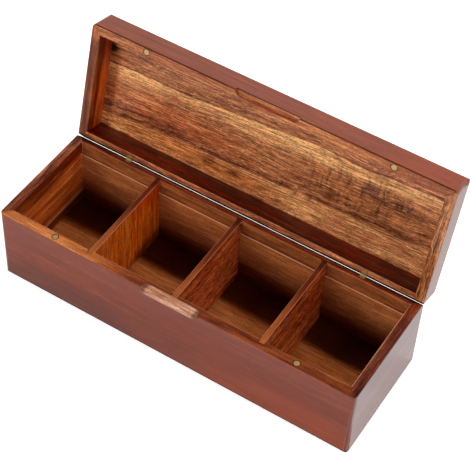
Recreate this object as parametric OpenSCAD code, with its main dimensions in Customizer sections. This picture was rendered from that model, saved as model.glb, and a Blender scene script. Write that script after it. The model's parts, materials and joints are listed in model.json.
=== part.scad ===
// Wooden tea bag organizer box: four compartments, lift-out dividers, a lid on two concealed
// barrel hinges. The origin is the centre of the box's footprint, on the surface it stands on.
// X runs along the length, -Y is the front, +Z is up. The lid is drawn open, on its stop.

/* [Box] */
// Outer length of the box
box_w = 330; // [260:5:420]
// Outer depth of the box, from front face to rear face
box_d = 112; // [90:1:150]
// Height of the box from its underside to its rim
box_h = 73; // [50:1:110]
// Thickness of the front and end walls, of box and lid
wall_t = 8.5; // [8:0.5:11]
// Thickness of the back walls, which hold the hinges
back_t = 10.5; // [10:0.5:13]
// Thickness of the bottom panel
bottom_t = 6; // [3:0.5:8]
// Width of the rabbets that hold the bottom panel and the lid panel
rabbet_w = 4.5; // [3:0.5:5]
// Radius of the upright outer corners
corner_r = 4; // [2:0.5:6]
// Radius of the outer edges round the underside
base_edge_r = 1; // [0.5:0.25:2]
// Depth below the rim of the step on the inside of the back wall
step_drop = 12; // [8:1:20]
// How far the back wall is thicker below that step
step_d = 2; // [1:0.5:4]

/* [Lid] */
// Height of the lid from its rim to its top
lid_h = 25; // [20:1:40]
// Thickness of the lid panel
lid_panel_t = 4; // [3:0.5:6]
// Radius of the outer edges round the top of the lid
lid_edge_r = 3; // [1:0.5:3.5]
// Gap between the two rims when the lid is closed
rim_gap = 0.3; // [0.2:0.1:0.5]
// Angle at which the lid stands open on its stop
open_angle = 104.5; // [95:0.5:105]
// Width of the bevel along the rear edge of the box's rim
box_bevel_w = 6; // [5.5:0.5:6.5]
// Height of that bevel
box_bevel_h = 6.3; // [5.5:0.1:7.5]
// Width of the bevel along the rear edge of the lid's rim
lid_bevel_w = 5.5; // [5:0.5:6]
// Height of that bevel
lid_bevel_h = 5.3; // [5:0.1:6.5]

/* [Dividers] */
// Thickness of a divider
divider_t = 5; // [3:0.5:8]
// Depth of the slots in the front and back walls
slot_d = 3; // [2:0.5:3.5]
// Clearance between a divider and each side and end of its slots
slot_clear = 0.15; // [0.1:0.05:0.4]
// How far the dividers stop below the rim
divider_drop = 0.4; // [0.3:0.1:3]
// Radius of the eased top edges of a divider
divider_edge_r = 0.8; // [0.3:0.1:1.2]

/* [Thumb pull] */
// Length of the pull
pull_len = 53; // [40:1:70]
// Width of the pull from its back to its front
pull_w = 9; // [8:0.5:10]
// Thickness of the pull
pull_t = 4.8; // [4:0.2:6]
// How far the pull stands out past the front face
pull_out = 4; // [3:0.5:5]
// How far the pull stands above the rim of the box
pull_up = 2.3; // [1.5:0.1:2.5]
// Radius of the edges of the pull
pull_edge_r = 1.9; // [1:0.1:2]
// Clearance beside the pull in the recess of the lid
recess_side = 2.5; // [1.5:0.5:4]
// Clearance behind the pull in the recess of the lid
recess_back = 0.8; // [0.6:0.1:1.2]
// Clearance over the pull in the recess of the lid
recess_top = 0.6; // [0.4:0.1:1]

/* [Hinges] */
// Distance of each hinge from the end of the box
hinge_inset = 53; // [35:1:75]
// Diameter of a hinge barrel
barrel_d = 6; // [6:0.1:6.4]
// Depth to which each barrel is let into its rim
barrel_len = 15; // [10:1:18]
// Distance of the barrels from the rear face
barrel_in = 5; // [4.8:0.1:5.2]
// Distance of the hinge axis from the rear face
axis_in = 4.4; // [4.2:0.1:4.6]
// Diameter of the hinge pin
pin_d = 1.6; // [1.4:0.1:1.8]
// Height at the rear face of the slant that is cut off the end of the upper barrel
slant_h = 7.5; // [7:0.1:8]
// Radius of the knuckles round the pin
knuckle_r = 1.9; // [1.7:0.1:2]
// Thickness of the tongue of the upper barrel
tongue_t = 2.2; // [1.8:0.1:2.4]
// Thickness of each cheek of the lower barrel
cheek_t = 1.3; // [1:0.1:1.4]
// Gap between the tongue and each cheek
cheek_clear = 0.1; // [0.05:0.05:0.2]
// Running clearance round the pin in the tongue
pin_clear = 0.05; // [0.03:0.01:0.08]
// Gap left at the stop with the lid fully open
stop_gap = 0.12; // [0.08:0.02:0.2]

/* [Magnets] */
// Diameter of a magnet
magnet_d = 6; // [4:0.5:6]
// Thickness of a magnet
magnet_t = 3; // [2:0.5:5]
// Distance of each magnet from the end of the box
magnet_inset = 53; // [30:1:80]
// How far a magnet lies below its rim
magnet_sunk = 0.1; // [0.05:0.05:0.3]

/* [Hidden] */
$fn = 48;

// Clearance of glued fits: panels in rabbets, barrels and magnets in bores, the pull in its seat
glue_gap = 0.05;
// Clearance of the swinging knuckle round the cheeks, and of the barrel in front of them
swing_gap = 0.2;
// Clearance of the pin pressed into the cheeks
press_gap = 0.01;
// Reach of cutting shapes past the faces that they cut
over = 1;
// Depth to which the cheeks run down into their barrel
cheek_root = 0.4;

compartments = 4;
wood_dark = [0.52, 0.29, 0.20];
wood_mid = [0.62, 0.36, 0.20];
wood_light = [0.72, 0.47, 0.27];
brass = [0.80, 0.66, 0.36];

// Inside of the box
in_w = box_w - 2 * wall_t;
in_front = -box_d / 2 + wall_t;
in_back = box_d / 2 - back_t;
in_mid = (in_front + in_back) / 2;
in_d = in_back - in_front;
step_z = box_h - step_drop;

// The lid as it lies when closed
lid_rim = box_h + rim_gap;
lid_top = lid_rim + lid_h;

// Dividers
bay_w = (in_w - (compartments - 1) * divider_t) / compartments;
divider_pitch = bay_w + divider_t;
divider_z = bottom_t + slot_clear;
divider_top = box_h - divider_drop;
slot_front = in_front - slot_d;
slot_back = in_back + slot_d;

// Thumb pull
pull_front = -box_d / 2 - pull_out;
pull_mid = pull_front + pull_w / 2;
pull_z = box_h + pull_up - pull_t;
recess_h = pull_up - rim_gap + recess_top;

// Hinges
hinge_x = box_w / 2 - hinge_inset;
barrel_y = box_d / 2 - barrel_in;
barrel_r = barrel_d / 2;
axis_y = box_d / 2 - axis_in;
axis_z = box_h + rim_gap / 2;
pin_len = tongue_t + 2 * (cheek_clear + cheek_t);
lip_y = barrel_y + barrel_r - axis_y;
stop_z = axis_z + (lip_y * cos(open_angle) - knuckle_r) / sin(open_angle) - stop_gap;

// Magnets
magnet_x = box_w / 2 - magnet_inset;
magnet_y = -box_d / 2 + wall_t / 2;

// A rectangle with round corners, centred on the origin
module round_plan(w, d, r) {
    square([w - 2 * r, d], center = true);
    square([w, d - 2 * r], center = true);
    for (sx = [-1, 1], sy = [-1, 1])
        translate([sx * (w / 2 - r), sy * (d / 2 - r)]) circle(r);
}

// A section of width w and height h that stands on y = 0, with its two lower corners round
module round_foot_section(w, h, r) {
    translate([-w / 2, r]) square([w, h - r]);
    translate([-w / 2 + r, 0]) square([w - 2 * r, h]);
    for (s = [-1, 1])
        translate([s * (w / 2 - r), r]) circle(r);
}

// The bevel along a rear rim edge: its section in depth and height, from the rim outwards
module bevel_section(w, h) {
    start = box_d / 2 - w;
    polygon([[start - over * w / h, -over], [start, 0], [box_d / 2 + over, (w + over) * h / w],
             [box_d / 2 + over, -over]]);
}

// Extrudes a section in depth and height along the length of the box
module along_length(len) {
    rotate([90, 0, 90]) linear_extrude(len, center = true) children();
}

// Extrudes a section in length and height along the depth of the box
module along_depth(len) {
    rotate([90, 0, 0]) linear_extrude(len, center = true) children();
}

// The outer form of the box
module box_form() {
    intersection() {
        linear_extrude(box_h) round_plan(box_w, box_d, corner_r);
        along_depth(box_d + over) round_foot_section(box_w, box_h, base_edge_r);
        along_length(box_w + over) difference() {
            round_foot_section(box_d, box_h, base_edge_r);
            translate([0, box_h]) mirror([0, 1]) bevel_section(box_bevel_w, box_bevel_h);
        }
    }
}

// The outer form of the closed lid
module lid_form() {
    intersection() {
        translate([0, 0, lid_rim]) linear_extrude(lid_h) round_plan(box_w, box_d, corner_r);
        translate([0, 0, lid_top]) mirror([0, 0, 1])
            along_depth(box_d + over) round_foot_section(box_w, lid_h, lid_edge_r);
        along_length(box_w + over) difference() {
            translate([0, lid_top]) mirror([0, 1]) round_foot_section(box_d, lid_h, lid_edge_r);
            translate([0, lid_rim]) bevel_section(lid_bevel_w, lid_bevel_h);
        }
    }
}

// Plans of the mitred walls, from the outer corners to the inner corners
module front_plan() {
    polygon([[-box_w / 2, -box_d / 2], [box_w / 2, -box_d / 2], [in_w / 2, in_front], [-in_w / 2, in_front]]);
}

module back_plan() {
    polygon([[box_w / 2, box_d / 2], [-box_w / 2, box_d / 2], [-in_w / 2, in_back], [in_w / 2, in_back]]);
}

module right_plan() {
    polygon([[box_w / 2, -box_d / 2], [box_w / 2, box_d / 2], [in_w / 2, in_back], [in_w / 2, in_front]]);
}

module left_plan() {
    mirror([1, 0]) right_plan();
}

// The seat of a panel in the rabbets, with a clearance taken off each edge
module panel_plan(gap) {
    translate([0, in_mid]) square([in_w + 2 * (rabbet_w - gap), in_d + 2 * (rabbet_w - gap)], center = true);
}

module bottom_rabbet() {
    translate([0, 0, -over]) linear_extrude(bottom_t + over) panel_plan(0);
}

module lid_rabbet() {
    translate([0, 0, lid_top - lid_panel_t]) linear_extrude(lid_panel_t + over) panel_plan(0);
}

// The three slots that cross the box, open at the rim
module divider_slots() {
    for (i = [-1 : 1])
        translate([i * divider_pitch - divider_t / 2 - slot_clear, slot_front, bottom_t])
            cube([divider_t + 2 * slot_clear, slot_back - slot_front, box_h]);
}

// A bar with round ends, seen from above
module pull_plan(len, w) {
    square([len - w, w], center = true);
    for (s = [-1, 1])
        translate([s * (len - w) / 2, 0]) circle(w / 2);
}

module pull_seat() {
    translate([0, pull_mid, pull_z])
        linear_extrude(pull_t + over) pull_plan(pull_len + 2 * glue_gap, pull_w + 2 * glue_gap);
}

module lid_recess() {
    translate([0, pull_mid, lid_rim - over])
        linear_extrude(recess_h + over)
            pull_plan(pull_len + 2 * recess_side, pull_w + 2 * recess_back);
}

// A bore for one magnet, going down from z = 0
module magnet_bore() {
    depth = magnet_t + magnet_sunk;
    translate([0, 0, -depth]) cylinder(depth + over, d = magnet_d + 2 * glue_gap);
}

module magnet_disc() {
    color(brass) translate([0, 0, -magnet_t - magnet_sunk]) cylinder(magnet_t, d = magnet_d);
}

// A bore for one lower barrel, going down from z = 0
module barrel_bore() {
    translate([0, 0, -barrel_len]) cylinder(barrel_len + over, d = barrel_d + 2 * glue_gap);
}

// A round bar along the hinge axis
module axis_rod(r, len) {
    translate([0, axis_y, axis_z]) rotate([0, 90, 0]) cylinder(len, r = r, center = true);
}

// The lower half of a hinge: a barrel whose two cheeks hold the pin
module lower_barrel() {
    color(brass) difference() {
        union() {
            translate([0, barrel_y, box_h - barrel_len]) cylinder(stop_z - box_h + barrel_len, d = barrel_d);
            intersection() {
                translate([0, barrel_y, stop_z - over]) cylinder(box_h - stop_z + over, d = barrel_d);
                translate([-barrel_d, axis_y - knuckle_r - swing_gap - barrel_d, 0])
                    cube([2 * barrel_d, barrel_d, 2 * box_h]);
            }
            intersection() {
                translate([0, barrel_y, stop_z - cheek_root]) cylinder(barrel_d, d = barrel_d);
                for (s = [-1, 1])
                    translate([s * (pin_len - cheek_t) / 2, 0, 0]) {
                        axis_rod(knuckle_r, cheek_t);
                        translate([-cheek_t / 2, axis_y - knuckle_r, stop_z - cheek_root])
                            cube([cheek_t, 2 * knuckle_r, axis_z - stop_z + cheek_root]);
                    }
            }
        }
        axis_rod(pin_d / 2 + press_gap, 2 * barrel_d);
    }
}

// The upper half of a hinge in a closed lid: a barrel whose tongue turns on the pin
module upper_barrel() {
    color(brass) difference() {
        union() {
            difference() {
                translate([0, barrel_y, lid_rim]) cylinder(barrel_len, d = barrel_d);
                along_length(4 * barrel_d) translate([0, lid_rim]) bevel_section(box_bevel_w, slant_h);
                axis_rod(knuckle_r + swing_gap, 2 * barrel_d);
            }
            axis_rod(knuckle_r, tongue_t);
            translate([-tongue_t / 2, axis_y - knuckle_r, axis_z])
                cube([tongue_t, 2 * knuckle_r, slant_h]);
        }
        axis_rod(pin_d / 2 + pin_clear, 2 * barrel_d);
    }
}

module hinge_pin() {
    color("silver") axis_rod(pin_d / 2, pin_len);
}

// Swings the closed lid back about the hinge axis to its stop
module swing_open() {
    translate([0, axis_y, axis_z]) rotate([-open_angle, 0, 0]) translate([0, -axis_y, -axis_z]) children();
}

// One divider, centred on x = 0
module divider() {
    w = divider_t;
    h = divider_top - divider_z;
    len = slot_back - slot_front - 2 * slot_clear;
    color(wood_mid)
        translate([0, (slot_front + slot_back) / 2, divider_top]) mirror([0, 0, 1])
            along_depth(len) round_foot_section(w, h, divider_edge_r);
}

module front_wall() {
    color(wood_dark) difference() {
        intersection() {
            box_form();
            linear_extrude(box_h) front_plan();
        }
        bottom_rabbet();
        divider_slots();
        pull_seat();
        for (s = [-1, 1])
            translate([s * magnet_x, magnet_y, box_h]) magnet_bore();
    }
}

module back_wall() {
    color(wood_dark) difference() {
        union() {
            intersection() {
                box_form();
                linear_extrude(box_h) back_plan();
            }
            translate([-in_w / 2, in_back - step_d, 0]) cube([in_w, step_d, step_z]);
        }
        bottom_rabbet();
        divider_slots();
        for (s = [-1, 1])
            translate([s * hinge_x, barrel_y, box_h]) barrel_bore();
    }
}

module right_wall() {
    color(wood_dark) difference() {
        intersection() {
            box_form();
            linear_extrude(box_h) right_plan();
        }
        bottom_rabbet();
    }
}

module left_wall() {
    mirror([1, 0, 0]) right_wall();
}

module bottom_panel() {
    color(wood_mid) linear_extrude(bottom_t) panel_plan(glue_gap);
}

module thumb_pull() {
    middle = pull_len - pull_w;
    color(wood_light) translate([0, pull_mid, pull_z + pull_t / 2]) {
        along_length(middle) round_plan(pull_w, pull_t, pull_edge_r);
        for (s = [-1, 1])
            translate([s * middle / 2, 0, 0]) rotate_extrude() intersection() {
                round_plan(pull_w, pull_t, pull_edge_r);
                translate([0, -pull_t]) square([pull_w, 2 * pull_t]);
            }
    }
}

module divider_left() {
    translate([-divider_pitch, 0, 0]) divider();
}

module divider_middle() {
    divider();
}

module divider_right() {
    translate([divider_pitch, 0, 0]) divider();
}

module box_magnet_left() {
    translate([-magnet_x, magnet_y, box_h]) magnet_disc();
}

module box_magnet_right() {
    translate([magnet_x, magnet_y, box_h]) magnet_disc();
}

module hinge_lower_left() {
    translate([-hinge_x, 0, 0]) lower_barrel();
}

module hinge_lower_right() {
    translate([hinge_x, 0, 0]) lower_barrel();
}

module hinge_pin_left() {
    translate([-hinge_x, 0, 0]) hinge_pin();
}

module hinge_pin_right() {
    translate([hinge_x, 0, 0]) hinge_pin();
}

module hinge_upper_left() {
    swing_open() translate([-hinge_x, 0, 0]) upper_barrel();
}

module hinge_upper_right() {
    swing_open() translate([hinge_x, 0, 0]) upper_barrel();
}

module lid_front_wall() {
    color(wood_dark) swing_open() difference() {
        intersection() {
            lid_form();
            translate([0, 0, lid_rim]) linear_extrude(lid_h) front_plan();
        }
        lid_rabbet();
        lid_recess();
        for (s = [-1, 1])
            translate([s * magnet_x, magnet_y, lid_rim]) mirror([0, 0, 1]) magnet_bore();
    }
}

module lid_back_wall() {
    color(wood_dark) swing_open() difference() {
        intersection() {
            lid_form();
            translate([0, 0, lid_rim]) linear_extrude(lid_h) back_plan();
        }
        lid_rabbet();
        for (s = [-1, 1])
            translate([s * hinge_x, barrel_y, lid_rim]) mirror([0, 0, 1]) barrel_bore();
    }
}

// The right wall of the closed lid
module lid_end() {
    difference() {
        intersection() {
            lid_form();
            translate([0, 0, lid_rim]) linear_extrude(lid_h) right_plan();
        }
        lid_rabbet();
    }
}

module lid_right_wall() {
    color(wood_dark) swing_open() lid_end();
}

module lid_left_wall() {
    color(wood_dark) swing_open() mirror([1, 0, 0]) lid_end();
}

module lid_panel() {
    color(wood_light) swing_open()
        translate([0, 0, lid_top - lid_panel_t]) linear_extrude(lid_panel_t) panel_plan(glue_gap);
}

module lid_magnet_left() {
    swing_open() translate([-magnet_x, magnet_y, lid_rim]) mirror([0, 0, 1]) magnet_disc();
}

module lid_magnet_right() {
    swing_open() translate([magnet_x, magnet_y, lid_rim]) mirror([0, 0, 1]) magnet_disc();
}

front_wall();
back_wall();
left_wall();
right_wall();
bottom_panel();
thumb_pull();
divider_left();
divider_middle();
divider_right();
box_magnet_left();
box_magnet_right();
hinge_lower_left();
hinge_lower_right();
hinge_pin_left();
hinge_pin_right();
hinge_upper_left();
hinge_upper_right();
lid_front_wall();
lid_back_wall();
lid_left_wall();
lid_right_wall();
lid_panel();
lid_magnet_left();
lid_magnet_right();
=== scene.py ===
"""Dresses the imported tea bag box: lacquered boards, dividers, hinges, magnets, and a photo stage."""

import json
import math

import bmesh
import bpy
from mathutils import Matrix, Vector


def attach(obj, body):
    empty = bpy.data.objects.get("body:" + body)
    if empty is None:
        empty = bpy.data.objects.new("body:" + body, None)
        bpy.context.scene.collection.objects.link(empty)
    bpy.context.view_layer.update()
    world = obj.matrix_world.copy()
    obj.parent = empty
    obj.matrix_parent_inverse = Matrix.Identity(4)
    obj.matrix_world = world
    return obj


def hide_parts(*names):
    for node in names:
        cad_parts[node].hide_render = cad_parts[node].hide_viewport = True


bl_info = {
    "name": "Tea bag box",
    "version": (1, 0, 0),
    "blender": (4, 5, 0),
    "location": "3D View > Sidebar > Tea Box",
    "description": "Builds the boards, fittings and finishes of a wooden tea bag box around its fixed frame",
    "category": "Object",
}

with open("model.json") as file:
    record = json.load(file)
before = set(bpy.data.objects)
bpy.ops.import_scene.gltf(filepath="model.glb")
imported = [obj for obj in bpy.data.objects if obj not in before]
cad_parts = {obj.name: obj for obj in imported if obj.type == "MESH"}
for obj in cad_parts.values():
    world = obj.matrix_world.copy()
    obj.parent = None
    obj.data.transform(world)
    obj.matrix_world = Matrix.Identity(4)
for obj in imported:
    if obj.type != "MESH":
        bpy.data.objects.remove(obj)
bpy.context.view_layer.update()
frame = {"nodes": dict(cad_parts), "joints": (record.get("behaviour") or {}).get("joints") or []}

MM = 0.001

# Places that come from the frame
HINGE = next(joint for joint in frame["joints"] if joint["name"] == "lid_hinge")
PIVOT = Vector(HINGE["pos_m"])
LID_TURN = Matrix.Rotation(math.radians(HINGE["range_deg"][0]), 4, Vector(HINGE["axis"]))
CLOSE_LID = Matrix.Translation(PIVOT) @ LID_TURN @ Matrix.Translation(-PIVOT)
OPEN_LID = CLOSE_LID.inverted()

# Turns that lay a board's grain along its first direction
LENGTHWISE = Matrix.Identity(4)
CROSSWISE = Matrix.Rotation(math.radians(-90), 4, "Z")
UPRIGHT = Matrix.Rotation(math.radians(90), 4, "Y")


def srgb(red, green, blue):
    """A colour picked as 0 to 255 on a screen, as the linear colour that a shader takes."""
    def linear(value):
        value /= 255
        return value / 12.92 if value <= 0.04045 else ((value + 0.055) / 1.055) ** 2.4
    return linear(red), linear(green), linear(blue)


def colour(name, description, default):
    return bpy.props.FloatVectorProperty(
        name=name, description=description, default=default, subtype="COLOR", min=0.0, max=1.0)


def length(name, description, default):
    return bpy.props.FloatProperty(
        name=name, description=description, default=default, unit="LENGTH", subtype="DISTANCE", min=0.0)


def share(name, description, default):
    return bpy.props.FloatProperty(
        name=name, description=description, default=default, subtype="FACTOR", min=0.0, max=1.0)


class TeaBoxWood(bpy.types.PropertyGroup):
    """Colours of the boards, from the dark streaks to the pale ones."""

    outside_dark: colour("Outside, dark", "Dark streaks of the stained outer faces", srgb(80, 28, 18))
    outside_mid: colour("Outside, middle", "Ground colour of the stained outer faces", srgb(126, 50, 32))
    outside_pale: colour("Outside, pale", "Pale streaks of the stained outer faces", srgb(160, 78, 46))
    rim_dark: colour("Rim, dark", "Dark streaks of the rims", srgb(96, 36, 16))
    rim_mid: colour("Rim, middle", "Ground colour of the rims", srgb(160, 82, 40))
    rim_pale: colour("Rim, pale", "Pale streaks of the rims", srgb(226, 140, 78))
    inside_dark: colour("Inside, dark", "Dark streaks of the inner faces", srgb(88, 38, 16))
    inside_mid: colour("Inside, middle", "Ground colour of the inner faces", srgb(160, 94, 46))
    inside_pale: colour("Inside, pale", "Pale streaks of the inner faces", srgb(206, 142, 80))
    divider_dark: colour("Divider, dark", "Dark streaks of the dividers", srgb(100, 30, 8))
    divider_mid: colour("Divider, middle", "Ground colour of the dividers", srgb(184, 84, 26))
    divider_pale: colour("Divider, pale", "Pale streaks of the dividers", srgb(232, 150, 90))
    panel_dark: colour("Lid panel, dark", "Dark streaks of the lid panel", srgb(108, 54, 34))
    panel_mid: colour("Lid panel, middle", "Ground colour of the lid panel", srgb(184, 112, 66))
    panel_pale: colour("Lid panel, pale", "Pale streaks of the lid panel", srgb(238, 178, 108))
    pull_dark: colour("Pull, dark", "Dark streaks of the thumb pull", srgb(160, 92, 66))
    pull_mid: colour("Pull, middle", "Ground colour of the thumb pull", srgb(216, 158, 126))
    pull_pale: colour("Pull, pale", "Pale streaks of the thumb pull", srgb(246, 212, 190))
    # Colour of the pale lines, which mostly paint highlights on the eased edges
    edge: colour("Pale lines", "Colour of the pale lines, mostly painted highlights on the eased edges", srgb(226, 160, 120))


class TeaBoxFinish(bpy.types.PropertyGroup):
    """The lacquer and the metal."""

    gloss: share("Lacquer roughness", "Roughness of the lacquer coat", 0.16)
    coat: share("Lacquer coat", "Strength of the lacquer coat", 0.55)
    matt: share("Wood roughness", "Roughness of the wood under the lacquer", 0.5)
    brass: colour("Brass", "Hinge barrels", srgb(206, 172, 110))
    steel: colour("Steel", "Hinge pins", srgb(196, 194, 190))
    magnet: colour("Magnet", "Plating of the magnets", srgb(206, 166, 108))


class TeaBoxEdges(bpy.types.PropertyGroup):
    """Radii of the sanded edges."""

    outer_rim: length("Outer rim", "Rounding of the outer edges of the rims", 0.9 * MM)
    inner_rim: length("Inner rim", "Rounding of the inner edges of the rims", 0.6 * MM)
    panel: length("Panels", "Rounding of the edges of the bottom and lid panels", 0.3 * MM)
    magnet: length("Magnets", "Chamfer of the magnets", 0.6 * MM)


class TeaBoxStage(bpy.types.PropertyGroup):
    """Camera, lamps and floor."""

    camera_place: bpy.props.FloatVectorProperty(
        name="Camera place", description="Where the camera stands", subtype="TRANSLATION", unit="LENGTH",
        default=(0.407575, -0.67502, 1.00435))
    camera_yaw: bpy.props.FloatProperty(
        name="Camera yaw", description="Turn of the camera about the upright", subtype="ANGLE", default=0.518)
    camera_pitch: bpy.props.FloatProperty(
        name="Camera pitch", description="How far the camera looks down", subtype="ANGLE", default=0.854)
    camera_roll: bpy.props.FloatProperty(
        name="Camera roll", description="Turn of the camera about its line of sight", subtype="ANGLE",
        default=0.058)
    camera_lens: bpy.props.FloatProperty(
        name="Camera lens", description="Focal length on a 36 mm sensor", subtype="DISTANCE_CAMERA",
        default=117.97)
    key_power: bpy.props.FloatProperty(
        name="Key lamp", description="Power of the soft box above and behind the object", unit="POWER",
        default=15.0)
    fill_power: bpy.props.FloatProperty(
        name="Front lamp", description="Power of the low soft box in front", unit="POWER", default=18.0)
    side_power: bpy.props.FloatProperty(
        name="Side lamp", description="Power of the soft box on the right", unit="POWER", default=4.3)
    daylight: bpy.props.FloatProperty(
        name="Surround", description="Light that the white surround throws on the object", default=0.02,
        min=0.0)
    ceiling: share("Ceiling", "Brightness overhead in mirrors", 0.12)
    floor: colour("Floor", "Colour of the floor", (0.8, 0.8, 0.8))
    floor_glow: share("Floor glow", "How white the floor shows in the object's shadow", 0.7)


def corners(node, lid=False):
    """Lowest and highest corner of a node, with the lid closed for a node of the lid."""
    points = [vert.co for vert in frame["nodes"][node].data.vertices]
    if lid:
        points = [CLOSE_LID @ point for point in points]
    return (Vector(min(point[i] for point in points) for i in range(3)),
            Vector(max(point[i] for point in points) for i in range(3)))


# Outer corner, rims and inner faces of the closed box. STEP_Y is the inner face below the back wall's step
BOX_HIGH = corners("back_wall")[1]
RIM = BOX_HIGH.z
LID_RIM = corners("lid_left_wall", lid=True)[0].z
IN_X = -corners("left_wall")[1].x
IN_FRONT = corners("front_wall")[1].y
IN_BACK = corners("lid_back_wall", lid=True)[0].y
STEP_Y = corners("back_wall")[0].y

# How near an edge has to lie to a face to count as on it, how far the round upright corners reach, and the
# least areas of a mitre face and of a magnet's flat face
ON_FACE = 0.1 * MM
CORNER_REACH = 5 * MM
MITRE_AREA = 100 * MM * MM
MAGNET_FACE_AREA = 4 * MM * MM

# How far below the rim the faces of a rim and of a bevel beside the hinges can lie
RIM_REACH = 7 * MM
BEVEL_REACH = 9 * MM

# Order of the materials on a wall, and on a panel or divider
OUTSIDE, RIM_FACE, INSIDE, BEVEL = range(4)
BOARD, OTHER_FACE = range(2)

# Casts of the boards that are stained alike, and a dark cast that paints the shade on the bevels beside the
# hinges
STAIN = (1.0, 1.06, 0.9)
LID_STAIN = (1.4, 1.75, 1.3)
BEVEL_SHADE = (0.3, 0.3, 0.35)
# Near-black colour of the painted shade lines along edges
SHADE_LINE_TINT = (0.012, 0.004, 0.003)

# Places and sizes of the soft boxes
KEY_LAMP = ((0.05, 0.6, 1.5), (0.8, 0.05))
FRONT_LAMP = ((-0.3, -1.42, 0.68), (1.5, 0.5))
SIDE_LAMP = ((1.13, 0.0, 1.13), (0.5, 0.5))
LAMP_TARGET = Vector((0.0, 0.0, 0.05))
FLOOR_HALF = 3.0


def finished(name, bm, body, nodes, sharp_degrees=32):
    """Turns a bmesh in the row frame into a smooth shaded piece that rides on its body."""
    mesh = bpy.data.meshes.new(name)
    bm.to_mesh(mesh)
    bm.free()
    piece = bpy.data.objects.new(name, mesh)
    bpy.context.scene.collection.objects.link(piece)
    mesh.shade_smooth()
    mesh.set_sharp_from_angle(angle=math.radians(sharp_degrees))
    even = piece.modifiers.new("Even shading", "WEIGHTED_NORMAL")
    even.keep_sharp = True
    even.weight = 100
    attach(piece, body)
    if nodes:
        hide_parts(*nodes)
    return piece


def merged_copy(node, lid=False):
    """A bmesh of a CAD node with its triangles joined into flat faces, and the lid closed for a lid node."""
    bm = bmesh.new()
    bm.from_mesh(frame["nodes"][node].data)
    bmesh.ops.remove_doubles(bm, verts=bm.verts, dist=0.002 * MM)
    if lid:
        bmesh.ops.transform(bm, matrix=CLOSE_LID, verts=bm.verts)
    bmesh.ops.dissolve_limit(bm, angle_limit=math.radians(0.5), verts=bm.verts, edges=bm.edges)
    bm.normal_update()
    return bm


def ease(bm, edges, radius, segments=3):
    """Sands edges round."""
    bmesh.ops.bevel(
        bm, geom=edges, offset=radius, offset_type="OFFSET", affect="EDGES", segments=segments,
        profile=0.5, material=-1, clamp_overlap=False)
    bm.normal_update()


class Nodes:
    """Adds and joins the nodes of one material."""

    def __init__(self, material):
        material.use_nodes = True
        self.tree = material.node_tree
        self.tree.nodes.clear()

    def add(self, kind, sockets=None, **settings):
        made = self.tree.nodes.new("ShaderNode" + kind)
        for name, value in settings.items():
            setattr(made, name, value)
        for name, value in (sockets or {}).items():
            self.feed(made.inputs[name], value)
        return made

    def feed(self, socket, value):
        if isinstance(value, bpy.types.NodeSocket):
            self.tree.links.new(value, socket)
        elif socket.type == "RGBA" and len(value) == 3:
            socket.default_value = (*value, 1.0)
        else:
            socket.default_value = value

    def maths(self, operation, first, second=0.0):
        return self.add("Math", {0: first, 1: second}, operation=operation).outputs[0]

    def vector(self, operation, first, second):
        return self.add("VectorMath", {0: first, 1: second}, operation=operation).outputs[0]

    def mix(self, amount, first, second, blend="MIX"):
        return self.add("Mix", {0: amount, 6: first, 7: second}, data_type="RGBA",
                        blend_type=blend).outputs[2]

    def ramp(self, value, *stops):
        made = self.add("ValToRGB", {0: value})
        marks = made.color_ramp.elements
        while len(marks) < len(stops):
            marks.new(0.5)
        for mark, (place, tint) in zip(marks, stops):
            mark.position = place
            mark.color = (*tint, 1.0)
        return made.outputs[0]

    def step(self, value, low, high):
        """Rises smoothly from 0 to 1 as value goes from low to high."""
        return self.add("MapRange", {"Value": value, "From Min": low, "From Max": high},
                        interpolation_type="SMOOTHSTEP").outputs[0]

    def near(self, value, middle, half):
        """1 at the middle, falling to 0 at half away from it."""
        away = self.maths("ABSOLUTE", self.maths("SUBTRACT", value, middle))
        return self.step(away, half, half * 0.4)

    def patch(self, place, middle, half, torn):
        """1 inside a soft oval round the middle and 0 outside it, with a border torn by a pattern round 0."""
        away = self.vector("SUBTRACT", place, middle)
        away = self.vector("MULTIPLY", away, tuple(1 / size for size in half))
        away = self.add("VectorMath", {0: away}, operation="LENGTH").outputs[1]
        return self.step(self.maths("ADD", away, torn), 1.15, 0.35)

    def noise(self, place, cell, detail=3.0, roughness=0.55):
        """Noise whose cells have these sizes, in millimetres, along the three directions."""
        scaled = self.vector("MULTIPLY", place, tuple(1 / size for size in cell))
        return self.add("TexNoise", {"Vector": scaled, "Scale": 1.0, "Detail": detail,
                                     "Roughness": roughness}).outputs[0]


def grey(value):
    return value, value, value


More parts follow.
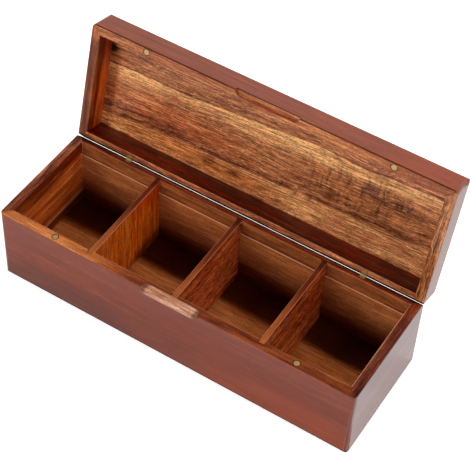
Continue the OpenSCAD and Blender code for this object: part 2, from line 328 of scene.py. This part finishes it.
def wood(name, tints, grain, seed, lid=False, bands=1.0, lines=0.5, rings=0.0, flecks=0.0, slope=0.0,
         profile=(), patches=(), curls=(), worn=(), grime=(), mitre=False, lacquer=1.0):
    """Lacquered wood, laid out in millimetres with the lid closed.

    tints are the colours of its dark streaks, its ground and its pale streaks. grain turns the board's length
    onto the pattern's first direction, and seed moves the pattern to another part of the log. bands is the
    strength of the soft streaks, lines that of the fine lines, rings that of the thin dark year rings and
    flecks that of the pale dashes, partly flecks of the wood and partly painted glints on its pores.
    slope is how much the grain drifts in depth per unit of length. Each profile is (axis, (place, level),
    ...),
    wide bands from 0, dark, to 1, pale: mostly the board's own tone, while some paint shade and highlights.
    Each of the patches is (middle, half size, tint to multiply by), some of them painted highlights and
    painted shade, and each of the curls (middle, half size), a patch of cross figure. Each of the worn and
    grime is (axis, place, half width, amount): the pale lines mostly paint highlights on the eased edges, and
    the shade lines paint shade along edges. mitre draws the glue line of the corners, and lacquer is the
    share of the usual coat."""
    finish = bpy.context.scene.tea_box_finish
    dark, mid, pale = tints
    material = bpy.data.materials.new(name)
    nodes = Nodes(material)
    turn = CLOSE_LID if lid else Matrix.Identity(4)
    place = nodes.add("Mapping", {
        "Vector": nodes.add("TexCoord").outputs["Object"], "Location": tuple(turn.to_translation() / MM),
        "Rotation": tuple(turn.to_euler()), "Scale": (1 / MM,) * 3}).outputs[0]
    split = nodes.add("SeparateXYZ", {0: place}).outputs
    drift = nodes.add("CombineXYZ", {1: nodes.maths("MULTIPLY", split[0], slope)}).outputs[0]
    leaning = nodes.vector("ADD", place, drift)
    board = nodes.add("Mapping", {"Vector": leaning, "Rotation": tuple(grain.to_euler()),
                                  "Location": (seed * 731.0, seed * 97.0, seed * 53.0)}).outputs[0]
    sway = nodes.noise(board, (110.0, 45.0, 45.0), 1.5)
    bent = nodes.vector("ADD", board, nodes.vector("MULTIPLY", sway, (0.0, 12.0, 12.0)))
    broad = nodes.noise(bent, (130.0, 7.0, 7.0), 4.0, 0.6)
    streaks = nodes.noise(bent, (55.0, 2.2, 2.2), 3.0, 0.6)
    fine = nodes.noise(bent, (14.0, 0.9, 0.9), 2.0, 0.6)
    specks = nodes.noise(bent, (2.2, 0.9, 0.9), 1.0, 0.5)
    clouds = nodes.noise(board, (50.0, 20.0, 20.0), 2.0)

    level = 0.5
    for pattern, weight in ((broad, 1.5), (streaks, 1.2), (clouds, 0.7)):
        level = nodes.add("Math", {0: nodes.maths("SUBTRACT", pattern, 0.5), 1: weight * bands, 2: level},
                          operation="MULTIPLY_ADD").outputs[0]
    ragged = nodes.maths("MULTIPLY", nodes.maths("SUBTRACT", sway, 0.5), 16.0)
    for axis, *marks in profile:
        low, high = marks[0][0], marks[-1][0]
        across = nodes.add("SeparateXYZ", {0: leaning}).outputs[axis]
        placed = nodes.add("MapRange", {"Value": nodes.maths("ADD", across, ragged), "From Min": low,
                                        "From Max": high}).outputs[0]
        shade = nodes.ramp(placed, *(((mark - low) / (high - low), grey(tone)) for mark, tone in marks))
        level = nodes.maths("ADD", level, nodes.maths("SUBTRACT", shade, 0.5))
    tint = nodes.ramp(level, (0.08, dark), (0.5, mid), (0.92, pale))
    for pattern, low, high, least, most in ((fine, 0.35, 0.65, 1 - 0.55 * lines, 1 + 0.4 * lines),
                                            (specks, 0.3, 0.7, 1 - 0.4 * lines, 1 + 0.3 * lines)):
        tint = nodes.mix(1.0, tint, nodes.ramp(pattern, (low, grey(least)), (high, grey(most))), "MULTIPLY")
    if rings:
        growth = nodes.add("VectorMath", {0: bent, 1: (0.0, 0.8, 0.6)}, operation="DOT_PRODUCT").outputs[1]
        growth = nodes.maths("ADD", growth, nodes.maths("MULTIPLY", broad, 12.0))
        thin = nodes.step(nodes.maths("PINGPONG", growth, 1.4), 0.5, 0.1)
        broken = nodes.step(nodes.noise(bent, (24.0, 2.0, 2.0), 1.0), 0.4, 0.6)
        tint = nodes.mix(nodes.maths("MULTIPLY", nodes.maths("MULTIPLY", thin, broken), rings), tint,
                         tuple(0.7 * part for part in dark))
    # Pale dashes: partly flecks of the wood and partly painted glints on its pores
    if flecks:
        dashes = nodes.step(nodes.noise(bent, (7.0, 0.9, 0.9), 1.0), 0.56, 0.68)
        tint = nodes.mix(nodes.maths("MULTIPLY", dashes, flecks), tint, tuple(1.2 * part for part in pale))
    torn = nodes.maths("MULTIPLY", nodes.maths("SUBTRACT", streaks, 0.5), 1.2)
    for middle, half in curls:
        curl = nodes.noise(nodes.vector("ADD", place, nodes.vector("MULTIPLY", clouds, (14.0, 0.0, 0.0))),
                           (3.6, 20.0, 20.0), 3.0, 0.6)
        shade = nodes.ramp(curl, (0.36, grey(0.4)), (0.47, grey(0.95)), (0.65, grey(1.2)))
        tint = nodes.mix(nodes.patch(place, middle, half, torn), tint, shade, "MULTIPLY")
    for middle, half, cast in patches:
        tint = nodes.mix(nodes.patch(place, middle, half, torn), tint, cast, "MULTIPLY")
    # Pale lines in the colour above: mostly painted highlights on the eased edges
    for axis, middle, half, amount in worn:
        line = nodes.maths("MULTIPLY", nodes.near(split[axis], middle, half), amount)
        tint = nodes.mix(line, tint, tuple(bpy.context.scene.tea_box_wood.edge))
    shine = finish.coat * lacquer
    # Shade lines paint the shade along an edge: near black, and with the coat's reflection taken away
    for axis, middle, half, amount in grime:
        line = nodes.maths("MULTIPLY", nodes.near(split[axis], middle, half), amount)
        tint = nodes.mix(line, tint, SHADE_LINE_TINT)
        shine = nodes.maths("MULTIPLY", nodes.maths("SUBTRACT", 1.0, line), shine)
    if mitre:
        ends = nodes.maths("SUBTRACT", nodes.maths("ABSOLUTE", split[0]), nodes.maths("ABSOLUTE", split[1]))
        seam = nodes.near(ends, (BOX_HIGH.x - BOX_HIGH.y) / MM, 0.45)
        tint = nodes.mix(nodes.maths("MULTIPLY", seam, 0.75), tint, tuple(0.25 * part for part in dark))

    facing = nodes.add("LayerWeight", {"Blend": 0.5}).outputs["Facing"]
    shine = nodes.maths("MULTIPLY", shine, nodes.step(facing, 0.97, 0.84))
    relief = nodes.maths("ADD", nodes.maths("MULTIPLY", fine, 0.6), nodes.maths("MULTIPLY", specks, 0.4))
    bump = nodes.add("Bump", {"Height": relief, "Strength": 0.15, "Distance": 0.3 * MM}).outputs[0]
    rough = nodes.maths("ADD", nodes.maths("MULTIPLY", fine, 0.12), finish.matt - 0.06)
    surface = nodes.add("BsdfPrincipled", {
        "Base Color": tint, "Roughness": rough, "Normal": bump, "Coat Weight": shine,
        "Coat Roughness": finish.gloss, "Specular IOR Level": 0.1 * lacquer}).outputs[0]
    nodes.add("OutputMaterial", {"Surface": surface})
    return material


def board_wood(name, palette, grain, seed, tone=(1.0, 1.0, 1.0), **look):
    """Wood in one palette of the settings: outside, rim, inside, divider, panel or pull. tone is a cast over
    the
    palette: mostly the board's own, but on the bevels and on the inside of the lid's back wall it paints
    shade."""
    settings = bpy.context.scene.tea_box_wood
    tints = [tuple(part * cast for part, cast in zip(getattr(settings, f"{palette}_{shade}"), tone))
             for shade in ("dark", "mid", "pale")]
    return wood(name, tints, grain, seed, **look)


def metal(name, tint, roughness, metallic=1.0):
    """Plated or turned metal with faint marks of handling."""
    material = bpy.data.materials.new(name)
    nodes = Nodes(material)
    place = nodes.add("TexCoord").outputs["Object"]
    millimetres = nodes.vector("MULTIPLY", place, (1 / MM,) * 3)
    clouds = nodes.noise(millimetres, (1.6, 1.6, 1.6))
    marks = nodes.noise(millimetres, (0.15, 2.0, 0.15), 2.0)
    tone = nodes.ramp(clouds, (0.3, tuple(0.78 * part for part in tint)), (0.65, tuple(tint)))
    rough = nodes.maths("ADD", nodes.maths("MULTIPLY", marks, 0.15), roughness)
    bump = nodes.add("Bump", {"Height": marks, "Strength": 0.1, "Distance": 0.02 * MM}).outputs[0]
    surface = nodes.add("BsdfPrincipled", {
        "Base Color": tone, "Roughness": rough, "Metallic": metallic, "Normal": bump}).outputs[0]
    nodes.add("OutputMaterial", {"Surface": surface})
    return material


def is_mitre(face):
    """The big slanting faces by which two walls are glued together."""
    return abs(face.normal.x) > 0.4 and abs(face.normal.y) > 0.4 and face.calc_area() > MITRE_AREA


def rim_edges(bm, up, outer):
    """The edges between a rim and the outer or inner face of a wall. up is 1 for the box, -1 for the lid."""
    found = []
    for edge in bm.edges:
        tops = [face for face in edge.link_faces if face.normal.z * up > 0.5]
        sides = [face for face in edge.link_faces if abs(face.normal.z) < 0.2 and not is_mitre(face)]
        if len(tops) != 1 or len(sides) != 1:
            continue
        middle = (edge.verts[0].co + edge.verts[1].co) / 2
        facing = sides[0].normal
        level = abs(middle.z - (RIM if up > 0 else LID_RIM)) < ON_FACE / 2
        at_end = abs(middle.x) > BOX_HIGH.x - CORNER_REACH
        if outer:
            straight = abs(middle.y) > BOX_HIGH.y - ON_FACE and abs(facing.y) > 0.95
            chosen = level and (straight or at_end) and facing.dot(middle) > 0
        else:
            chosen = level and (abs(abs(middle.x) - IN_X) < ON_FACE or abs(middle.y - IN_FRONT) < ON_FACE
                                or abs(middle.y - IN_BACK) < ON_FACE)
        if chosen:
            found.append(edge)
    return found


def wall(node, faces, lid=False):
    """A wall of the box or the lid: its node with the edges of the rim sanded round. faces holds the
    materials of the outer faces, the rim, the inner faces and the bevel beside the hinges."""
    edges = bpy.context.scene.tea_box_edges
    up = -1 if lid else 1
    bm = merged_copy(node, lid)
    ease(bm, rim_edges(bm, up, outer=True), edges.outer_rim)
    ease(bm, rim_edges(bm, up, outer=False), edges.inner_rim, 2)
    steps = [edge for edge in bm.edges if not lid and len(edge.link_faces) == 2
             and all(abs(vert.co.y - STEP_Y) < ON_FACE / 2 and vert.co.z > RIM / 2 for vert in edge.verts)
             and abs(edge.verts[0].co.x - edge.verts[1].co.x) > CORNER_REACH]
    ease(bm, steps, edges.inner_rim, 2)
    for face in bm.faces:
        middle = face.calc_center_median()
        outward = face.normal.x * middle.x / BOX_HIGH.x + face.normal.y * middle.y / BOX_HIGH.y
        below = abs(middle.z - (RIM if up > 0 else LID_RIM))
        upward = face.normal.z * up > 0.45
        if upward and face.normal.y > 0.6 and below < BEVEL_REACH:
            face.material_index = BEVEL
        elif upward and below < RIM_REACH:
            face.material_index = RIM_FACE
        elif outward < -0.05 and abs(face.normal.z) < 0.9 or upward:
            face.material_index = INSIDE
        else:
            face.material_index = OUTSIDE
    if lid:
        bmesh.ops.transform(bm, matrix=OPEN_LID, verts=bm.verts)
    piece = finished(f"{node}_board", bm, "lid" if lid else "box", [node])
    for material in faces:
        piece.data.materials.append(material)


def walls(boards, lid):
    """Builds walls from their (node, grain, seed, look outside, look of the rim, look inside)."""
    # The bevels beside the hinges get a dark cast and no coat: painted shade
    bevel = board_wood("lid bevel" if lid else "box bevel", "outside", LENGTHWISE, 20, tone=BEVEL_SHADE,
                       lid=lid, lacquer=0.0)
    for node, grain, seed, outside, rim, inside in boards:
        wall(node, (
            board_wood(f"{node} outside", "outside", grain, seed, lid=lid, **outside),
            board_wood(f"{node} rim", "rim", grain, seed, lid=lid, mitre=True, **rim),
            board_wood(f"{node} inside", "inside", grain, seed, lid=lid, **inside), bevel), lid)


class TEABOX_OT_box_walls(bpy.types.Operator):
    """Build the four mitred walls of the box"""

    bl_idname = "teabox.box_walls"
    bl_label = "Box walls"

    def execute(self, context):
        # The shade line along the bottom edge of each outer face paints the shade where the box stands on the
        # floor
        stained = {"bands": 0.3, "lines": 0.25, "grime": ((2, 0.0, 2.4, 0.9),)}
        walls((
            ("front_wall", LENGTHWISE, 1,
             {**stained, "tone": STAIN, "lacquer": 0.62, "patches": (
                 ((120, -56, 8), (110, 900, 26), (1.3, 1.15, 0.7)),
                 ((-110, -56, 6), (90, 900, 26), (0.7, 0.8, 0.95)),
                 ((-20, -56, 25), (60, 900, 20), (0.88, 0.88, 0.9)),
                 # Painted highlight along the outer edge of the rim, on the right half
                 ((100, -55.6, 72.6), (75, 1.0, 1.0), (2.2, 2.6, 3.0)))},
             # Rim: the pale line paints the highlight on the inner edge
             {"bands": 0.6, "worn": ((1, -47.7, 0.5, 0.35),),
              "profile": ((0, (-165, 0.68), (-70, 0.64), (-45, 0.36), (30, 0.24), (165, 0.18)),)},
             {}),
            ("back_wall", LENGTHWISE, 2, stained,
             # Rim: the pale line paints the highlight on the inner edge
             {"tone": (0.86, 0.54, 0.68), "bands": 0.8, "lines": 0.8, "worn": ((1, 45.7, 0.5, 0.3),),
              "profile": ((1, (45, 0.6), (47, 0.35), (50, 0.45)),)},
             # Inside: the profile darkens the face towards the bottom, painted shade, and darkens a band
             # above the step; the pale lines paint the highlight on the step's edge and draw an upright pale
             # line by the left corner
             {"tone": (1.15, 1.08, 1.25), "bands": 0.5, "lines": 0.6, "rings": 0.2,
              "worn": ((2, 60.2, 0.8, 0.85), (0, -155.9, 0.6, 0.4)),
              "profile": ((2, (6, 0.25), (21, 0.42), (31, 0.52), (59, 0.5), (63, 0.3), (73, 0.36)),)}),
            ("left_wall", CROSSWISE, 3, stained,
             # Rim: the profile paints the highlight on the inner edge
             {"tone": (0.74, 0.8, 1.35), "bands": 1.3, "lines": 0.9,
              "profile": ((0, (-165, 0.3), (-158, 0.45), (-156.6, 0.8)),)},
             # Inside: the profile and the second patch paint the shade near the floor; the profile and the
             # first patch also darken the face near the rim, and the pale line draws a pale band above the
             # floor
             {"tone": (2.2, 1.58, 0.98), "bands": 0.8, "worn": ((2, 17.0, 1.7, 0.7),),
              "profile": ((2, (6, 0.05), (14, 0.1), (20, 0.35), (33, 0.35), (47, 0.65), (58, 0.45), (63, 0.2),
                           (73, 0.1)),),
              "patches": (((-156, 40, 67), (900, 30, 14), (0.8, 0.4, 0.35)),
                          ((-156, 40, 8), (900, 70, 8), (0.3, 0.25, 0.2)))}),
            ("right_wall", CROSSWISE, 4,
             # Its shade line paints the shade along the bottom edge
             {"bands": 0.6, "lines": 0.3, "lacquer": 1.2, "grime": ((2, 0.0, 2.4, 0.9),),
              "profile": ((2, (0, 0.5), (14, 0.6), (22, 0.4), (42, 0.66), (52, 0.4), (73, 0.42)),)},
             # Rim: the pale line paints the highlight on the inner edge
             {"tone": (0.4, 0.34, 0.68), "bands": 1.2, "lines": 0.8, "worn": ((0, 157.0, 0.5, 0.6),),
              "patches": (((161, 52, 73), (8, 20, 900), (2.8, 2.2, 1.2)),)},
             {})), lid=False)
        return {"FINISHED"}


class TEABOX_OT_lid_walls(bpy.types.Operator):
    """Build the four mitred walls of the lid"""

    bl_idname = "teabox.lid_walls"
    bl_label = "Lid walls"

    def execute(self, context):
        # The shade line at the top of the closed lid paints the shade along that edge
        stained = {"bands": 0.3, "lines": 0.25, "tone": LID_STAIN, "grime": ((2, 97.6, 1.4, 0.6),)}
        walls((
            ("lid_front_wall", LENGTHWISE, 5,
             {**stained, "patches": (((150, -56, 86), (60, 900, 900), (1.15, 1.0, 0.8)),)},
             # Rim: the shade line paints the shade along the outer edge
             {"tone": (1.15, 1.2, 1.2), "bands": 0.7, "lines": 0.8, "grime": ((1, -55.6, 0.8, 0.85),),
              "profile": ((0, (-165, 0.6), (60, 0.6), (110, 0.45), (165, 0.5)),)},
             {}),
            ("lid_back_wall", LENGTHWISE, 6, stained,
             # Rim: the pale line paints the highlight on the inner edge
             {"tone": (1.22, 1.46, 2.1), "bands": 1.1, "lines": 1.0, "worn": ((1, 45.9, 0.5, 0.3),)},
             # Inside: the near-black tone paints the deep shade on this face; the pale line brightens the
             # glue bead along the panel with a painted highlight
             {"tone": (0.46, 0.03, 0.02), "bands": 1.8, "lines": 1.2, "worn": ((2, 94.1, 0.6, 0.6),)}),
            ("lid_left_wall", CROSSWISE, 7, stained,
             {"tone": (0.45, 0.4, 0.5), "bands": 0.8, "lines": 0.6, "lacquer": 0.5,
              "patches": (((-160, -50, 73), (8, 10, 900), (2.4, 2.6, 2.6)),)},
             {"tone": (1.9, 0.98, 0.34), "bands": 1.1,
              "profile": ((2, (73, 0.0), (81, 0.02), (83, 0.65), (93.4, 0.6), (94.3, 1.0)),)}),
            ("lid_right_wall", CROSSWISE, 8, {**stained, "lacquer": 1.2},
             {"tone": (1.06, 1.28, 1.46), "bands": 1.2, "lines": 1.0, "flecks": 0.6},
             {})), lid=True)
        return {"FINISHED"}


class TEABOX_OT_panels(bpy.types.Operator):
    """Build the bottom panel and the lid panel with eased edges"""

    bl_idname = "teabox.panels"
    bl_label = "Panels"

    def execute(self, context):
        edges = context.scene.tea_box_edges
        for node, lid, slot, material in (
                ("bottom_panel", False, "box_wood",
                 board_wood("bottom panel", "inside", LENGTHWISE, 9, tone=(0.85, 0.72, 0.72), bands=0.4,
                            lines=0.5,
                            # The profile darkens the rear of the floor: painted shade where the open lid
                            # shades it
                            profile=((1, (-50, 0.62), (12, 0.56), (17, 0.2), (26, 0.0), (47, -0.1)),))),
                ("lid_panel", True, "panel_wood", self.figured())):
            bm = merged_copy(node, lid)
            ease(bm, [edge for edge in bm.edges if edge.calc_face_angle(0.0) > 1.0], edges.panel, 2)
            for face in bm.faces:
                face.material_index = OTHER_FACE if face.normal.z * (1 if lid else -1) > 0.3 else BOARD
            if lid:
                bmesh.ops.transform(bm, matrix=OPEN_LID, verts=bm.verts)
            piece = finished(f"{node}_board", bm, "lid" if lid else "box", [node])
            piece.data.materials.append(material)
            piece.data.materials.append(board_wood(
                f"{node} outside", "outside", LENGTHWISE, 15 if lid else 16, lid=lid, tone=STAIN, bands=0.4,
                lines=0.3))
        return {"FINISHED"}

    def figured(self):
        """The lid panel's inner face: a greyish zone in front, a golden band, red heartwood, a curly figure
        on the right, a few small knots, and painted shade in a near-black corner patch and along the left
        wall."""
        return board_wood(
            "lid panel", "panel", LENGTHWISE, 10, lid=True, tone=(1.2, 1.2, 1.32), bands=0.7, lines=1.0,
            rings=0.7, flecks=0.3, slope=0.05, lacquer=0.4,
            profile=((1, (-52, 0.5), (-40, 0.5), (-30, 0.4), (-25, 0.42), (-23.6, 0.1), (-22, 0.8),
                      (-17, 0.8), (-12, 0.66), (-6, 0.46), (2, 0.4), (12, 0.36), (20, 0.36), (23, 0.12),
                      (25.5, 0.5), (33, 0.55), (42, 0.5)),),
            curls=(((85, -2, 94), (62, 24, 900)), ((30, 21, 94), (35, 6, 900))),
            patches=(
                ((-95, -34, 94), (75, 12, 900), (0.85, 0.85, 1.0)),
                ((-95, 12, 94), (90, 18, 900), (0.95, 0.74, 0.7)),
                ((-60, 36, 94), (110, 10, 900), (0.95, 0.8, 0.6)),
                ((90, 0, 94), (70, 26, 900), (0.85, 0.8, 0.75)),
                ((120, -31, 94), (55, 8, 900), (1.25, 1.3, 1.5)),
                # Painted shade: a near-black patch in the corner by the left wall
                ((-155, -29, 94), (6, 7, 900), (0.08, 0.06, 0.06)),
                ((94, -9, 94), (9, 9, 900), (0.5, 0.45, 0.6)),
                ((60, 12, 94), (7, 9, 900), (0.6, 0.5, 0.5)),
                ((110, 19, 94), (45, 5, 900), (0.6, 0.55, 0.55)),
                ((-50, 33, 94), (9, 6, 900), (0.6, 0.55, 0.55)),
                ((-27, 33, 94), (8, 7, 900), (0.7, 0.62, 0.6)),
                # Painted shade along the left wall
                ((-152, 0, 94), (7, 60, 900), (0.6, 0.5, 0.45))))


class TEABOX_OT_dividers(bpy.types.Operator):
    """Build the three dividers that slide out of their slots"""

    bl_idname = "teabox.dividers"
    bl_label = "Dividers"

    def execute(self, context):
        ribbon = {"tone": (1.22, 0.9, 0.85), "bands": 1.0, "lines": 1.2, "rings": 0.6, "flecks": 0.9}
        for node, grain, seed, look in (
                ("divider_left", UPRIGHT, 11, {
                    "tone": (1.9, 2.0, 0.85), "bands": 0.5, "lines": 0.6, "rings": 0.5,
                    "patches": (((-77, 35, 67), (900, 40, 16), (0.85, 0.5, 0.45)),
                                # Painted shade on the lower part of the face
                                ((-77, 30, 7), (900, 50, 14), (0.4, 0.3, 0.25)))}),
                ("divider_middle", CROSSWISE, 12, ribbon),
                ("divider_right", CROSSWISE, 13, ribbon)):
            bm = merged_copy(node)
            low, high = corners(node)
            for face in bm.faces:
                face.material_index = OTHER_FACE if face.normal.z > 0.3 else BOARD
            piece = finished(f"{node}_board", bm, node, [node], sharp_degrees=40)
            piece.data.materials.append(board_wood(node, "divider", grain, seed, **look))
            piece.data.materials.append(board_wood(
                f"{node} top", "rim", CROSSWISE, seed, bands=0.3, lines=0.3, lacquer=0.6,
                # The profile darkens the top towards the rear, painted shade of the open lid, and the pale
                # lines paint the highlights on both edges
                profile=((1, (-50, 0.55), (-25, 0.4), (-5, 0.2), (15, 0.02), (48, -0.1)),),
                worn=((0, low.x / MM + 0.3, 0.45, 0.3), (0, high.x / MM - 0.3, 0.45, 0.3))))
        return {"FINISHED"}


class TEABOX_OT_thumb_pull(bpy.types.Operator):
    """Build the thumb pull let into the front rim"""

    bl_idname = "teabox.thumb_pull"
    bl_label = "Thumb pull"

    def execute(self, context):
        bm = merged_copy("thumb_pull")
        piece = finished("thumb_pull_bar", bm, "box", ["thumb_pull"], sharp_degrees=50)
        piece.data.materials.append(board_wood(
            "thumb pull", "pull", LENGTHWISE, 14, tone=(0.9, 0.85, 0.82), bands=0.9, lines=0.6,
            # The two ends are darker, partly end grain and partly painted shade
            patches=(((-25, -56, 73), (5, 900, 900), (0.35, 0.25, 0.22)),
                     ((25.5, -56, 73), (4, 900, 900), (0.4, 0.3, 0.25)),
                     # Painted highlight along the rounded front edge
                     ((2, -58.8, 74.4), (21, 1.6, 1.4), (1.8, 2.3, 2.8)),
                     ((0, -55.2, 74), (90, 1.2, 900), (0.75, 0.6, 0.5)),
                     # Painted shade under the pull
                     ((0, -60, 70.4), (90, 900, 2.2), (0.1, 0.06, 0.05)))))
        return {"FINISHED"}


class TEABOX_OT_hinges(bpy.types.Operator):
    """Finish the barrels and pins of the two hinges"""

    bl_idname = "teabox.hinges"
    bl_label = "Hinges"

    def execute(self, context):
        finish = context.scene.tea_box_finish
        brass = metal("hinge brass", finish.brass, roughness=0.25, metallic=0.6)
        steel = metal("pin steel", finish.steel, roughness=0.2)
        for side in ("left", "right"):
            for part, material in (("lower", brass), ("upper", brass), ("pin", steel)):
                mesh = frame["nodes"][f"hinge_{part}_{side}"].data
                mesh.materials.clear()
                mesh.materials.append(material)
        return {"FINISHED"}


class TEABOX_OT_magnets(bpy.types.Operator):
    """Build the chamfered disc magnets of the two front rims"""

    bl_idname = "teabox.magnets"
    bl_label = "Magnets"

    def execute(self, context):
        finish = context.scene.tea_box_finish
        edges = context.scene.tea_box_edges
        plating = metal("magnet plating", finish.magnet, roughness=0.3, metallic=0.35)
        # The chamfer's near-black plating paints the dark ring round each magnet, in part painted shade in
        # its bore
        rim = metal("magnet rim", tuple(0.12 * part for part in finish.magnet), roughness=0.4, metallic=0.35)
        for owner, lid in (("box", False), ("lid", True)):
            for side in ("left", "right"):
                node = f"{owner}_magnet_{side}"
                low, high = corners(node, lid)
                radius = (high.x - low.x) / 2
                bm = bmesh.new()
                bmesh.ops.create_cone(
                    bm, cap_ends=True, segments=48, radius1=radius, radius2=radius, depth=high.z - low.z,
                    matrix=Matrix.Translation((low + high) / 2))
                rings = [edge for edge in bm.edges if edge.calc_face_angle(0.0) > 1.0]
                ease(bm, rings, edges.magnet, 2)
                if lid:
                    bmesh.ops.transform(bm, matrix=OPEN_LID, verts=bm.verts)
                for face in bm.faces:
                    face.material_index = 0 if face.calc_area() > MAGNET_FACE_AREA else 1
                piece = finished(f"{node}_disc", bm, owner, [node])
                piece.data.materials.append(plating)
                piece.data.materials.append(rim)
        return {"FINISHED"}


class TEABOX_OT_stage(bpy.types.Operator):
    """Set up the camera, the soft lamps, the white surround and the floor"""

    bl_idname = "teabox.stage"
    bl_label = "Photo stage"

    def execute(self, context):
        stage = context.scene.tea_box_stage
        self.camera(context, stage)
        self.lamp("key", stage.key_power, *KEY_LAMP)
        self.lamp("front fill", stage.fill_power, *FRONT_LAMP)
        self.lamp("side fill", stage.side_power, *SIDE_LAMP)
        self.surround(context, stage)
        self.floor(stage)
        context.scene.view_settings.view_transform = "Standard"
        return {"FINISHED"}

    def camera(self, context, stage):
        data = bpy.data.cameras.new("photo camera")
        data.lens = stage.camera_lens
        data.sensor_width = 36.0
        camera = bpy.data.objects.new("photo camera", data)
        context.scene.collection.objects.link(camera)
        turn = (Matrix.Rotation(stage.camera_yaw, 4, "Z")
                @ Matrix.Rotation(math.pi / 2 - stage.camera_pitch, 4, "X")
                @ Matrix.Rotation(stage.camera_roll, 4, "Z"))
        camera.matrix_world = Matrix.Translation(stage.camera_place) @ turn
        context.scene.camera = camera

    def lamp(self, name, power, place, size):
        """A rectangular soft box that faces the middle of the box, and shows in no mirror."""
        data = bpy.data.lights.new(name, "AREA")
        data.shape = "RECTANGLE"
        data.size, data.size_y = size
        data.energy = power
        lamp = bpy.data.objects.new(name, data)
        lamp.location = place
        lamp.visible_glossy = False
        lamp.rotation_euler = (LAMP_TARGET - Vector(place)).to_track_quat("-Z", "Y").to_euler()
        bpy.context.scene.collection.objects.link(lamp)

    def surround(self, context, stage):
        """White where the camera or glass looks. Mirrors see it white near the horizon and dim overhead."""
        world = bpy.data.worlds.new("white surround")
        context.scene.world = world
        nodes = Nodes(world)
        path = nodes.add("LightPath").outputs
        height = nodes.add("SeparateXYZ", {0: nodes.add("TexCoord").outputs["Generated"]}).outputs[2]
        mirrored = nodes.ramp(height, (0.3, grey(1.0)), (0.6, grey(stage.ceiling)))
        strength = nodes.mix(path["Is Glossy Ray"], grey(stage.daylight), mirrored)
        direct = nodes.maths("MAXIMUM", path["Is Camera Ray"], path["Is Transmission Ray"])
        strength = nodes.mix(direct, strength, grey(1.0))
        glow = nodes.add("Background", {"Color": (1.0, 1.0, 1.0), "Strength": strength}).outputs[0]
        nodes.add("OutputWorld", {"Surface": glow})

    def floor(self, stage):
        """A pale floor that glows white to the camera and in mirrors, and keeps the object's shadow."""
        bm = bmesh.new()
        bmesh.ops.create_grid(bm, x_segments=1, y_segments=1, size=FLOOR_HALF)
        mesh = bpy.data.meshes.new("floor")
        bm.to_mesh(mesh)
        bm.free()
        floor = bpy.data.objects.new("floor", mesh)
        bpy.context.scene.collection.objects.link(floor)
        material = bpy.data.materials.new("pale floor")
        nodes = Nodes(material)
        path = nodes.add("LightPath").outputs
        seen = nodes.maths("MAXIMUM", nodes.maths("MAXIMUM", path["Is Camera Ray"], path["Is Glossy Ray"]),
                           path["Is Transmission Ray"])
        glow = nodes.maths("MULTIPLY", seen, stage.floor_glow)
        matt = nodes.add("BsdfDiffuse", {"Color": tuple(stage.floor)}).outputs[0]
        white = nodes.add("Emission", {"Color": (1.0, 1.0, 1.0), "Strength": glow}).outputs[0]
        shown = nodes.add("AddShader", {0: matt, 1: white}).outputs[0]
        nodes.add("OutputMaterial", {"Surface": shown})
        mesh.materials.append(material)


class TEABOX_PT_sidebar(bpy.types.Panel):
    """Lists the steps and sizes in the 3D view's sidebar"""

    bl_idname = "TEABOX_PT_sidebar"
    bl_label = "Tea bag box"
    bl_space_type = "VIEW_3D"
    bl_region_type = "UI"
    bl_category = "Tea Box"

    def draw(self, context):
        for group in GROUPS:
            settings = getattr(context.scene, GROUPS[group])
            box = self.layout.box()
            box.label(text=group)
            for name in settings.bl_rna.properties.keys():
                if name not in ("rna_type", "name"):
                    box.prop(settings, name)
        for operator in OPERATORS:
            self.layout.operator(operator.bl_idname)


OPERATORS = (
    TEABOX_OT_box_walls, TEABOX_OT_lid_walls, TEABOX_OT_panels, TEABOX_OT_dividers, TEABOX_OT_thumb_pull,
    TEABOX_OT_hinges, TEABOX_OT_magnets, TEABOX_OT_stage)
PROPERTY_GROUPS = (TeaBoxWood, TeaBoxFinish, TeaBoxEdges, TeaBoxStage)
GROUPS = {
    "Wood": "tea_box_wood",
    "Finish": "tea_box_finish",
    "Edges": "tea_box_edges",
    "Stage": "tea_box_stage",
}


def register():
    for group in (*PROPERTY_GROUPS, *OPERATORS, TEABOX_PT_sidebar):
        bpy.utils.register_class(group)
    for group, name in zip(PROPERTY_GROUPS, GROUPS.values()):
        setattr(bpy.types.Scene, name, bpy.props.PointerProperty(type=group))


def unregister():
    for name in GROUPS.values():
        delattr(bpy.types.Scene, name)
    for group in (TEABOX_PT_sidebar, *reversed(OPERATORS), *reversed(PROPERTY_GROUPS)):
        bpy.utils.unregister_class(group)


def main():
    register()
    bpy.ops.teabox.box_walls()
    bpy.ops.teabox.lid_walls()
    bpy.ops.teabox.panels()
    bpy.ops.teabox.dividers()
    bpy.ops.teabox.thumb_pull()
    bpy.ops.teabox.hinges()
    bpy.ops.teabox.magnets()
    bpy.ops.teabox.stage()


if __name__ == "__main__":
    main()
